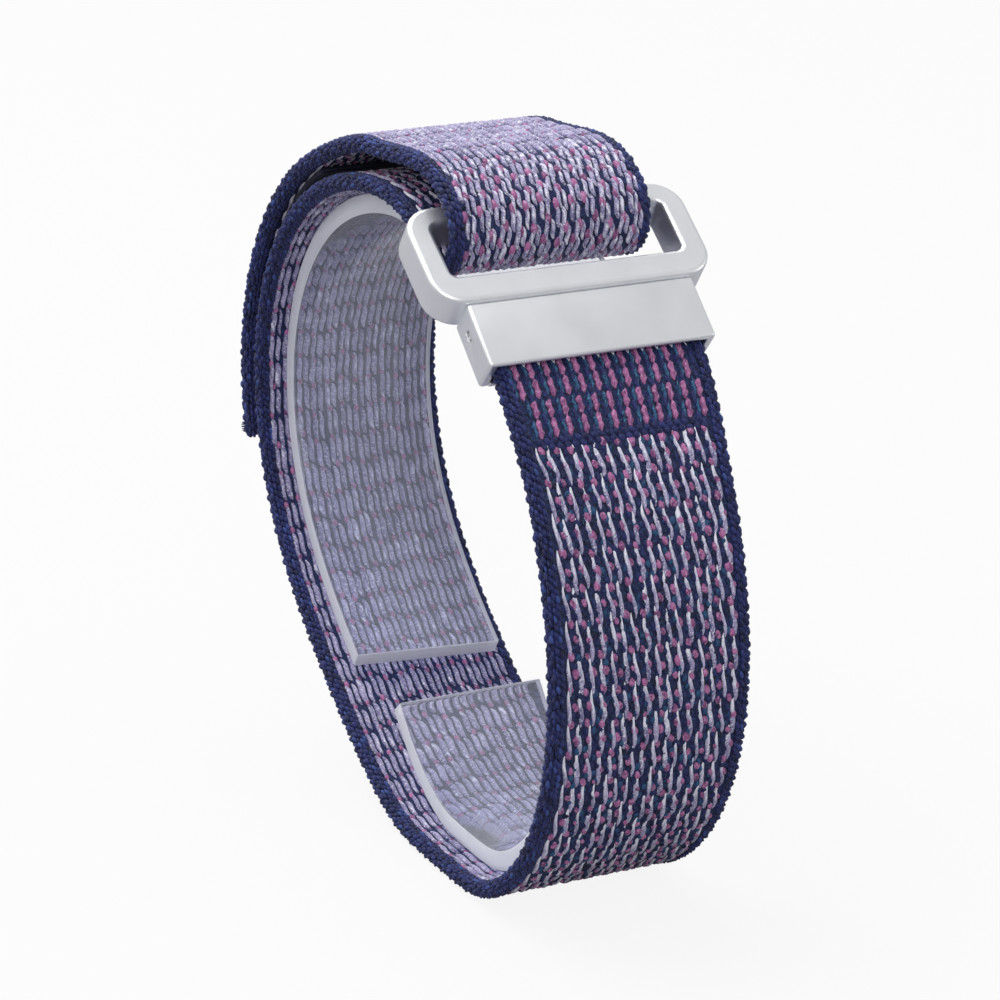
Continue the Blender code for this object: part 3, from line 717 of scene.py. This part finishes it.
for stretch_index, stretch in enumerate(stretches):
    stretch_name, first, last, _, _ = stretch
    chance = np.random.default_rng(200 + stretch_index)
    rows = rows_between(first, last, inner_first_row, inner_row)
    taut = stretched(inner_first_row + rows * inner_row) > 0.5

    # Lilac yarns, in twice as many short rows where the cloth is pulled
    lines = np.concatenate([rows[~taut], rows[taut] - 0.25, rows[taut] + 0.25])
    mesh, order, column, u, v, w = yarn_loops(stretch_name + "_inner_floats", np.arange(len(lines)),
                                              inner_columns, 8, 8)
    row, points = lines[order], (len(order), len(u))
    brief = order >= np.count_nonzero(~taut)
    centre_s = inner_first_row + row * inner_row + inner_slant * ((column // 2) % 3 - 1) + vary(0.00012)
    half_length = np.where(brief, *inner_half_lengths) * (1 + vary(0.05))
    along = centre_s + half_length * v
    pull = stretched(along)
    half_width = (inner_half_width - 0.00005 * pull) * (1 + vary(0.12)) * (1 + 0.3 * v * v)
    pairing = (0.5 - column % 2) * (0.00004 + 0.00010 * pull) + (row % 1 > 0.5) * inner_pitch / 2
    centre_x = (column - (inner_columns - 1) / 2) * inner_pitch + pairing + vary(0.00003)
    swing = (0.00012 - 0.00003 * pull) * (1 + vary(0.25))
    across = centre_x + half_width * u - swing * np.sin(v * pi / 2) + inner_curl * np.sin(v * pi)
    flat_map = own_map(u * map_size + v * 0.0009, v * 0.0017)
    # Painted light: each yarn is darker at its ends, where it tucks under the next row, and pulled yarns get
    # more painted glints of near white.
    ends = np.clip(np.abs(v) * 2.2 - 1.2, 0, 1)
    shade = np.clip(0.40 + vary(0.12) - 0.30 * ends, 0, 1)
    painted_glints = (chance.random(points) < 0.03 + 0.18 * pull) * 0.7
    height = inner_height - inner_half_thickness * w
    piece = cloth_object(mesh, across, along, height, lilac_yarn, shade, painted_glints, flat_map)
    mesh.flip_normals()
    carry(piece, stretch)

    # Pink picks at the necks
    lines = np.concatenate([rows - 0.5, rows[taut]])
    mesh, row, column, u, v, w = yarn_loops(stretch_name + "_inner_picks", lines, inner_columns // 2, 6, 5)
    centre_x = (column - (inner_columns // 2 - 1) / 2) * 2 * inner_pitch + (row % 1 == 0) * inner_pitch * 0.9
    centre_x = centre_x + vary(0.0001) - 0.0003
    centre_s = inner_first_row + row * inner_row + inner_slant * (column % 3 - 1) + vary(0.00015)
    swell = 1 + 0.25 * stretched(centre_s)
    across = centre_x + neck_half_width * swell * u
    along = centre_s + neck_half_length * swell * v
    height = inner_height - (0.00022 + 0.00008 * stretched(along)) * w
    flat_map = own_map(u * map_size, v * map_size)
    shade = np.clip(0.5 + vary(0.2), 0, 1)
    piece = cloth_object(mesh, across, along, height, pink_yarn, shade, 0, flat_map)
    mesh.flip_normals()
    carry(piece, stretch)

# Header: the first 7 mm below the housing, woven close without pile, with pink picks in
# columns between navy and teal ones and a plain navy bar at its end.

teal_yarn = yarn_look("teal_yarn", (0.006, 0.016, 0.06), (0.030, 0.105, 0.24), (0.1, 0.35, 0.5), sheen=0.1)
header_pitch = 0.00147
header_columns = 12
header_row = 0.00185
header_start = 0.0002
header_height = 0.00060
bar_pitch = 0.00076
bar_columns = 22
bar_row = 0.00056
bar_half_width = 0.00036
bar_half_length = 0.00034
bar_half_thickness = 0.00030
bar_height = 0.00058
chance = np.random.default_rng(300)
for kind, look, half, reach, shift, lift in (("pink", pink_yarn, 0.00038, 0.00098, 0.0, 0.00030),
                                             ("teal", teal_yarn, 0.00022, 0.00088, -0.00053, 0.00026),
                                             ("navy", navy_yarn, 0.00030, 0.00070, 0.00076, 0.00022)):
    mesh, row, column, u, v, w = yarn_loops("header_" + kind + "_picks", np.arange(-1, 4),
                                            header_columns, 8, 8)
    points = (len(row), len(u))
    half_step = np.where(row >= 2, 0.5, 0.0)
    centre_x = (column - (header_columns - 1) / 2 - 0.25 + half_step) * header_pitch + shift + vary(0.00004)
    offset = 0.5 * header_row if kind == "navy" else 0.0
    along = mouth_distance + header_start + row * header_row + offset + reach * v
    across = centre_x + half * (0.80 - 0.22 * np.cos(v * tau)) * u + 0.00006 * np.sin(v * tau)
    flat_map = own_map(u * map_size, v * 0.0008)
    grain = chance.standard_normal(points)
    shade = np.clip(0.56 + vary(0.12) + 0.30 * grain, 0, 1)
    carry(cloth_object(mesh, across, along, header_height + lift * w, look, shade, 0, flat_map), stretches[0])

# Plain bar under the header: two rows of navy ground yarn, close together
chance = np.random.default_rng(310)
mesh, row, column, u, v, w = yarn_loops("header_plain_bar", np.arange(2), bar_columns, 8, 6)
centre_x = (column - (bar_columns - 1) / 2 + 0.5 * row - 0.25) * bar_pitch
across = centre_x + bar_half_width * u + 0.00008 * v
along = header_end + 0.0001 + bar_row * row + bar_half_length * v
height = bar_height + bar_half_thickness * w
flat_map = own_map(u * map_size, v * map_size)
shade = np.clip(0.5 + vary(0.15), 0, 1)
carry(cloth_object(mesh, across, along, height, navy_yarn, shade, 0, flat_map), stretches[0])

# End seam: a zigzag of white twisted thread on each face closes the band's eye, and its
# outer tips just show at the housing's mouth.

seam_look = yarn_look("white_thread", (0.45, 0.43, 0.52), (0.80, 0.79, 0.86), (0.95, 0.94, 0.98))
seam_pitch = 0.00072
seam_first = 0.0021
seam_last = mouth_distance + 0.00012
seam_half_width = 0.0083
seam_radius = 0.00008
stitch_count = int(2 * seam_half_width / seam_pitch)
chance = np.random.default_rng(320)
for face, node_name in ((1, "end_seam_front"), (-1, "end_seam_back")):
    mesh, row, _, u, v, w = yarn_loops(node_name + "_thread", np.arange(stitch_count), 1, 8, 10)
    slope = np.where(row % 2 == 0, 1, -1)
    across = -seam_half_width + (row + 0.5) * seam_pitch + 0.5 * seam_pitch * v * 1.05 + seam_radius * u
    along = (seam_first + seam_last) / 2 + slope * (seam_last - seam_first) / 2 * v
    height = face * (half_band + 0.00004 + seam_radius * w * 0.9)
    shade = np.clip(0.6 + vary(0.1), 0, 1)
    piece = cloth_object(mesh, across, along, height, seam_look, shade, 0, (u * map_size, v * 0.0012))
    if face < 0:
        mesh.flip_normals()
    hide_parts(node_name)
    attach(piece, "band")

# Tail end: the band's last millimetres turned over and sealed, a small roll across the tail
# that is covered with the same navy edge yarn.

end_middle = whole_length - 0.00075
end_rise = -0.00022
end_reach = 0.00098
end_swell = 0.00100
end_columns = 37
end_round = 12
end_half_width = 0.0101
end_loop_half_width = 0.00031
end_core_half_width = 0.0100
chance = np.random.default_rng(330)
mesh, row, column, u, v, w = yarn_loops("tail_end_roll", np.arange(end_round), end_columns, 8, 6)
place_x = (column - (end_columns - 1) / 2) / ((end_columns - 1) / 2)
fullness = np.sqrt(1 - 0.75 * np.abs(place_x) ** 14)
turn = (row + 0.5 * (column % 2) + 0.34 * v + vary(0.05)) / end_round * tau
out = 1 + 0.16 * w
flat_map = own_map(u * map_size, v * map_size)
# Painted light: each loop of the roll is lighter on its top, and the tops get a painted highlight.
shade = np.clip(0.5 + vary(0.2) + 0.2 * w, 0, 1)
across = place_x * end_half_width + end_loop_half_width * u
along = end_middle + end_reach * fullness * out * np.cos(turn)
height = end_rise + end_swell * fullness * out * np.sin(turn)
roll = cloth_object(mesh, across, along, height, navy_yarn, shade, 0.3 * (w > 0.7), flat_map)
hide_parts("tail_end_binding")
mesh, _, _, u, v, w = yarn_loops("tail_end_core", [0], 1, 20, 14)
across = np.sign(v) * np.abs(v) ** 0.4 * end_core_half_width
core = cloth_object(mesh, across, end_middle + end_reach * u, end_rise + end_swell * w, navy_yarn, 0.3, 0,
                    (v * 0.01, u * 0.01))
mesh.flip_normals()
for piece in (roll, core):
    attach(piece, "tail_end")

# Hook tape: a stiff dark tape welded under the tail, with rows of bent monofilament hooks
# that hold in the pile of the band below.

tape_half_width = 0.0086
tape_low = 0.00088
tape_high = 0.00132
tape_step = 0.0006
hook_tall = 0.00062
hook_bend = 0.00022
hook_radius = 0.00007
hook_pitch = 0.00090
tape_look = yarn_look("hook_tape_base", (0.004, 0.005, 0.014), (0.012, 0.014, 0.045), (0.05, 0.06, 0.10),
                      sheen=0.1, glints=0.2)
hook_look = yarn_look("hook_filament", (0.008, 0.010, 0.030), (0.030, 0.034, 0.080), (0.1, 0.1, 0.2),
                      sheen=0.0, glints=0.1)
for stretch, first, last, node_name in (
        (stretches[2], hinge_distances[1] + 0.0012, middle_middle, "hook_strip_middle"),
        (stretches[3], middle_middle, whole_length - 0.0024, "hook_strip_end")):
    mesh, u, v, w = flat_slab(stretch[0] + "_hook_tape", 12, round((last - first) / tape_step))
    across = u * tape_half_width
    along = first + (v + 1) / 2 * (last - first)
    piece = cloth_object(mesh, across, along, tape_low + w * (tape_high - tape_low), tape_look, 0.5, 0,
                         (across, along))
    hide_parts(node_name)
    carry(piece, stretch)
    rows = np.arange(round((last - first) / hook_pitch) - 1)
    columns = round(2 * tape_half_width / hook_pitch) - 1
    mesh, row, column, u, v, w = yarn_loops(stretch[0] + "_hooks", rows, columns, 5, 8)
    curl = np.clip(v, 0, 1) * pi * 1.05
    rise = np.clip(v + 1, 0, 1) * (hook_tall - hook_bend) + hook_bend * np.sin(curl)
    reach = hook_bend * (1 - np.cos(curl)) * np.where(row % 2 == 0, 1, -1)
    across = (column - (columns - 1) / 2) * hook_pitch + hook_radius * u
    along = first + (row + 1) * hook_pitch + reach + hook_radius * w * np.cos(curl)
    height = tape_high - 0.00005 + rise + hook_radius * w * np.sin(curl)
    piece = cloth_object(mesh, across, along, height, hook_look, 0.5, 0, (u * map_size, v * 0.0008))
    carry(piece, stretch)

# Band eye: the band's end turned back round the spring bar and sewn shut, a hollow roll of
# the same cloth as wide as the band, hidden in the housing.

eye_half_width = strap_width / 2 - 0.0002
bar_radius = 0.0006
eye_bore = bar_radius + 0.00025
eye_layers = (0.0, 0.00012, 0.00025)
work = bmesh.new()
start_place = in_world(bar_place, -eye_half_width)
rim = [work.verts.new(start_place + Vector((0, 0, eye_bore + layer))) for layer in eye_layers]
edges = [work.edges.new(pair) for pair in zip(rim, rim[1:])]
bmesh.ops.spin(work, geom=rim + edges, cent=start_place, axis=(1, 0, 0), angle=tau, steps=32, use_merge=True)
draw_out(work, (2 * eye_half_width, 0, 0))
bmesh.ops.recalc_face_normals(work, faces=work.faces)
mesh = mesh_of(work, "band_eye")
mesh.uv_layers.new(name="yarn_map")
mesh.materials.append(navy_yarn)
eye = object_of(mesh)
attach(eye, "band")

# Ring: a flat die-cast frame that the band turns round, satin nickel plated, with rounded
# outer corners and a softened rim.

ring_side_gap = 0.0018
ring_side_bar = 0.0024
ring_opening_width = strap_width + 2 * ring_side_gap
ring_width = ring_opening_width + 2 * ring_side_bar
ring_corner_radius = 0.0030
ring_inner_corner_radius = 0.0008
ring_edge_round = 0.00042
ring_length = near_bar_width + ring_opening_length + far_bar_width
ring_middle = (ring_opening_length + far_bar_width - near_bar_width) / 2
opening_shift = ring_opening_length / 2 - ring_middle
sharp_angle = radians(40)

metal_group = shader_group(
    "satin_finish",
    [("Colour", "Color", (0.8, 0.8, 0.8, 1)), ("Roughness", "Float", 0.3), ("Place", "Vector", (0, 0, 0))],
    [("Colour", "Color"), ("Roughness", "Float"), ("Normal", "Vector")])
given = node(metal_group, "NodeGroupInput").outputs
grit = node(metal_group, "TexNoise", {"Vector": given["Place"], "Scale": 5200.0, "Detail": 3.0})
cloud = node(metal_group, "TexNoise", {"Vector": given["Place"], "Scale": 260.0, "Detail": 2.0})
tinted = node(metal_group, "Mix", data_type="RGBA", blend_type="MULTIPLY",
              inputs={0: 1.0, 6: given["Colour"], 7: spread_range(metal_group, cloud, 0.94, 1.04)})
rough = node(metal_group, "Math", operation="ADD",
             inputs={0: spread_range(metal_group, cloud, -0.05, 0.05), 1: given["Roughness"]})
relief = node(metal_group, "Bump", {"Strength": 0.30, "Distance": 0.00003, "Height": grit})
node(metal_group, "NodeGroupOutput", {"Colour": tinted.outputs[2], "Roughness": rough, "Normal": relief})


def metal_look(name, colour, roughness):
    """Metal with a fine blasted grit and a faint cloudiness."""
    def finish(tree):
        place = node(tree, "TexCoord").outputs["Object"]
        return {"Colour": (*colour, 1), "Roughness": roughness, "Place": place}

    look, shader = finished_look(name, metal_group, finish)
    shader.inputs["Metallic"].default_value = 1.0
    return look


satin_nickel = metal_look("satin_nickel", (0.93, 0.94, 0.96), 0.40)
spring_steel = metal_look("spring_steel", (0.62, 0.62, 0.63), 0.26)


def placed(along_way, place):
    """Turns a part's own width, length and depth into the strap's, at a place."""
    out_way = along_way * 1j
    turned = Matrix.Identity(4)
    turned.col[1] = Vector((0, along_way.real, along_way.imag, 0))
    turned.col[2] = Vector((0, out_way.real, out_way.imag, 0))
    return Matrix.Translation(in_world(place)) @ turned


def put_in_place(name, work, matrix):
    bmesh.ops.transform(work, matrix=matrix, verts=work.verts)
    bmesh.ops.recalc_face_normals(work, faces=work.faces)
    return object_of(mesh_of(work, name))


def soften(thing, width, segments, angle=sharp_angle):
    soft = thing.modifiers.new("soft_edges", "BEVEL")
    soft.width = width
    soft.segments = segments
    soft.limit_method = "ANGLE"
    soft.angle_limit = angle


def nickel_part(name, work, matrix, node_name):
    """A part of the buckle, in satin nickel."""
    thing = put_in_place(name, work, matrix)
    thing.data.materials.append(satin_nickel)
    thing.data.shade_smooth()
    thing.data.set_sharp_from_angle(angle=sharp_angle)
    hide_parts(node_name)
    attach(thing, "buckle")
    return thing


work = bmesh.new()
for width, length, shift, corner in ((ring_width, ring_length, 0, ring_corner_radius),
                                     (ring_opening_width, ring_opening_length, opening_shift,
                                      ring_inner_corner_radius)):
    verts = bmesh.ops.create_grid(work, x_segments=1, y_segments=1, size=0.5)["verts"]
    bmesh.ops.scale(work, vec=(width, length, 1), verts=verts)
    bmesh.ops.translate(work, vec=(0, shift, 0), verts=verts)
    bmesh.ops.bevel(work, geom=verts, offset=corner, offset_type="OFFSET", segments=8, profile=0.5,
                    affect="VERTICES", material=-1)
    bmesh.ops.delete(work, geom=work.faces[:], context="FACES_ONLY")
bmesh.ops.bridge_loops(work, edges=work.edges[:])
bmesh.ops.translate(work, vec=(0, 0, -ring_thickness / 2), verts=work.verts)
draw_out(work, (0, 0, ring_thickness))
ring_place = placed(ring_along, on_ring(ring_middle, -ring_thickness / 2))
soften(nickel_part("buckle_ring_cast", work, ring_place, "buckle_ring"), ring_edge_round, 4)

# End housing: a shallow cast cap on the ring's near bar, in the same satin nickel, open at
# its mouth for the band and slotted in each side wall for the spring bar's tips.

housing_side_wall = 0.00085
housing_hollow_depth = strap_thickness + 2 * housing_mouth_gap
back_plate_thickness = 0.0005
housing_depth = housing_front_wall + housing_hollow_depth + back_plate_thickness
hollow_side_gap = 0.00065
hollow_width = strap_width + 2 * hollow_side_gap
housing_width = hollow_width + 2 * housing_side_wall
housing_edge_round = 0.00038
housing_cut_round = 0.00006
slot_height = 0.00075
slot_length = 0.0012
joint_reach = joint_gap - 0.00002
overrun = 0.002
hollow_length = housing_length - housing_top_wall
hollow_depth = housing_hollow_depth + back_plate_thickness


def block(size, centre):
    work = bmesh.new()
    bmesh.ops.create_cube(work, size=1)
    bmesh.ops.scale(work, vec=size, verts=work.verts)
    bmesh.ops.translate(work, vec=centre, verts=work.verts)
    return work


housing_place = placed(housing_along, on_housing(0, 0))
work = block((housing_width, housing_length + joint_reach, housing_depth),
             (0, (joint_reach - housing_length) / 2, -housing_depth / 2))
bmesh.ops.bevel(work, geom=work.edges[:] + work.verts[:], offset=housing_edge_round, offset_type="OFFSET",
                segments=5, profile=0.5, affect="EDGES", material=-1)
housing = nickel_part("end_housing_cast", work, housing_place, "end_housing")
work = block((hollow_width, hollow_length + overrun, hollow_depth + overrun),
             (0, -housing_top_wall - (hollow_length + overrun) / 2,
              -housing_front_wall - (hollow_depth + overrun) / 2))
hollow = put_in_place("hollow_tool", work, housing_place)
work = bmesh.new()
bmesh.ops.create_cone(work, cap_ends=True, segments=24, radius1=slot_height / 2, radius2=slot_height / 2,
                      depth=housing_width + overrun)
bmesh.ops.rotate(work, matrix=Matrix.Rotation(pi / 2, 3, "Y"), verts=work.verts)
for vert in work.verts:
    vert.co.y += copysign((slot_length - slot_height) / 2, vert.co.y)
bmesh.ops.translate(work, vec=(0, bar_along, mid_depth), verts=work.verts)
side_slots = put_in_place("slot_tool", work, housing_place)
for tool in (hollow, side_slots):
    cut = housing.modifiers.new("cut", "BOOLEAN")
    cut.operation = "DIFFERENCE"
    cut.solver = "EXACT"
    cut.object = tool
soften(housing, housing_cut_round, 2, radians(50))
bpy.context.view_layer.update()
cut_mesh = bpy.data.meshes.new_from_object(housing.evaluated_get(bpy.context.evaluated_depsgraph_get()))
housing.modifiers.clear()
housing.data = cut_mesh
cut_mesh.shade_smooth()
cut_mesh.set_sharp_from_angle(angle=sharp_angle)
for tool in (hollow, side_slots):
    bpy.data.objects.remove(tool, do_unlink=True)

# Back plate: the thin steel plate that closes the housing on the wrist side, stamped out with
# softened edges, plated like the housing and pressed in behind the band.

back_plate_gap = 0.0001
back_plate_edge = 0.00012
plate_length = housing_length - housing_top_wall - back_plate_gap
work = block((hollow_width - 2 * back_plate_gap, plate_length, back_plate_thickness),
             (0, -housing_top_wall - back_plate_gap - plate_length / 2,
              -housing_front_wall - housing_hollow_depth - back_plate_thickness / 2))
soften(nickel_part("back_plate_pressed", work, housing_place, "housing_back_plate"), back_plate_edge, 3)

# Spring bar: a turned steel tube in the band's eye with a sprung tip at each end, which
# stand in the housing's side slots. The solids show as they are, in plain steel.

for name in ("spring_bar_tube", "plunger_near", "plunger_far"):
    frame["nodes"][name].data.materials.clear()
    frame["nodes"][name].data.materials.append(spring_steel)

# Bar springs: a coil for each tip, drawn steel wire wound round the bar's line, which meet in the middle of
# the tube. The real coils shorten as the tips are pressed in; these keep their length.

coil_radius = 0.00028
coil_wire_radius = 0.00007
coil_turns = 9
coil_steps_a_turn = 16
coil_tip_gap = 0.00005
coil_middle_gap = 0.00010
coil_start = coil_middle_gap + coil_wire_radius
for side_sign, end in ((-1, "near"), (1, "far")):
    tip = frame["nodes"]["plunger_" + end]
    reach = min(abs((tip.matrix_world @ v.co).x) for v in tip.data.vertices)
    coil_length = reach - coil_tip_gap - coil_wire_radius - coil_start
    work = bmesh.new()
    ring = bmesh.ops.create_circle(work, cap_ends=False, segments=8, radius=coil_wire_radius)["verts"]
    centre = in_world(bar_place, side_sign * coil_start)
    bmesh.ops.rotate(work, matrix=Matrix.Rotation(pi / 2, 3, "Y"), verts=ring)
    bmesh.ops.rotate(work, matrix=Matrix.Rotation(pi / 2, 3, "Z"), verts=ring)
    bmesh.ops.translate(work, vec=centre + Vector((0, 0, coil_radius)), verts=ring)
    steps = coil_turns * coil_steps_a_turn
    bmesh.ops.spin(work, geom=work.verts[:] + work.edges[:], cent=centre, axis=(1, 0, 0),
                   dvec=(side_sign * coil_length / steps, 0, 0), angle=tau * coil_turns, steps=steps,
                   use_merge=False)
    bmesh.ops.holes_fill(work, edges=[e for e in work.edges if e.is_boundary], sides=0)
    bmesh.ops.recalc_face_normals(work, faces=work.faces)
    coil = object_of(mesh_of(work, "bar_coil_" + end))
    coil.data.materials.append(spring_steel)
    coil.data.shade_smooth()
    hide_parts("bar_spring")
    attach(coil, "buckle")
    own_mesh(coil)

# Display collar: a springy strip of clear plastic bent inside the loop to hold it open, its
# ends cut square and its edges left a little dull by the saw.

collar_width = 0.0156
collar_thickness = 0.0014
collar_gap = 0.0004
collar_back_angle = radians(232.5)
collar_front_angle = radians(-110)
collar_lift_start = radians(-60)
collar_lift = 0.0046
collar_lift_power = 1.8
collar_duck = 0.0029
collar_duck_angle = radians(64)
collar_duck_half = radians(38)
collar_steps = 260
collar_shift = 0.0004
collar_skew = radians(1.1)
collar_sheet = 0.0020
collar_grown = 0.0003
collar_edge_round = 0.00015


def collar_edge(back_angle):
    """Points along one edge of the sheet, which was cut a little askew."""
    angles = np.linspace(back_angle, collar_front_angle, collar_steps)
    away = np.clip(np.abs(angles - collar_duck_angle) / collar_duck_half, 0, 1)
    rise = np.clip((collar_lift_start - angles) / (collar_lift_start - collar_front_angle), 0, 1)
    offsets = -strap_thickness - collar_gap - collar_thickness / 2 - collar_grown
    offsets = offsets - collar_duck * np.cos(away * pi / 2) ** 2
    offsets = offsets - collar_lift * rise ** collar_lift_power
    line = outline_offset(angles, offsets)
    lowest = foot_level + strap_thickness + collar_gap + collar_sheet / 2
    return line.real + 1j * soft_floor(line.imag, lowest)


collar_middle = collar_shift - winding_drift * main_length / 2 / whole_length
work = bmesh.new()
near_line = collar_edge(collar_back_angle - collar_skew)
far_line = collar_edge(collar_back_angle + collar_skew)
verts = [work.verts.new(in_world(p, collar_middle - collar_width / 2)) for p in near_line]
edges = [work.edges.new(pair) for pair in zip(verts, verts[1:])]
grown = bmesh.ops.extrude_edge_only(work, edges=edges)
moved = [g for g in grown["geom"] if isinstance(g, bmesh.types.BMVert)]
for vert in moved:
    which = np.argmin(np.abs(near_line + loop_centre - complex(vert.co.y, vert.co.z)))
    vert.co = in_world(far_line[which], collar_middle + collar_width / 2)
bmesh.ops.recalc_face_normals(work, faces=work.faces)
mesh = mesh_of(work, "clear_collar")


def clear_look(name, colour, roughness, transmission):
    """Clear plastic with a faint haze, whose shadow is a pale tint."""
    look = bpy.data.materials.new(name)
    look.use_nodes = True
    tree = look.node_tree
    shader = tree.nodes["Principled BSDF"]
    shader.inputs["Base Color"].default_value = (*colour, 1)
    shader.inputs["Transmission Weight"].default_value = transmission
    shader.inputs["IOR"].default_value = 1.49
    place = node(tree, "TexCoord")
    haze = node(tree, "TexNoise", {"Vector": place.outputs["Object"], "Scale": 180.0, "Detail": 3.0})
    tree.links.new(spread_range(tree, haze, roughness, roughness + 0.04), shader.inputs["Roughness"])
    kind_of_ray = node(tree, "LightPath")
    lets_through = node(tree, "BsdfTransparent", {"Color": (0.66, 0.69, 0.80, 1)})
    chosen = node(tree, "MixShader", {0: kind_of_ray.outputs["Is Shadow Ray"], 1: shader, 2: lets_through})
    tree.links.new(chosen.outputs[0], tree.nodes["Material Output"].inputs["Surface"])
    return look


mesh.materials.append(clear_look("clear_plastic", (0.93, 0.95, 1.0), 0.02, 0.92))
mesh.materials.append(clear_look("sawn_plastic_edge", (0.90, 0.91, 0.98), 0.30, 0.40))
mesh.shade_smooth()
collar = object_of(mesh)
shell = collar.modifiers.new("thickness", "SOLIDIFY")
shell.thickness = collar_sheet
shell.offset = 0.0
shell.use_even_offset = True
shell.material_offset_rim = 1
soften(collar, collar_edge_round, 3)
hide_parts("display_collar")
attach(collar, "collar")
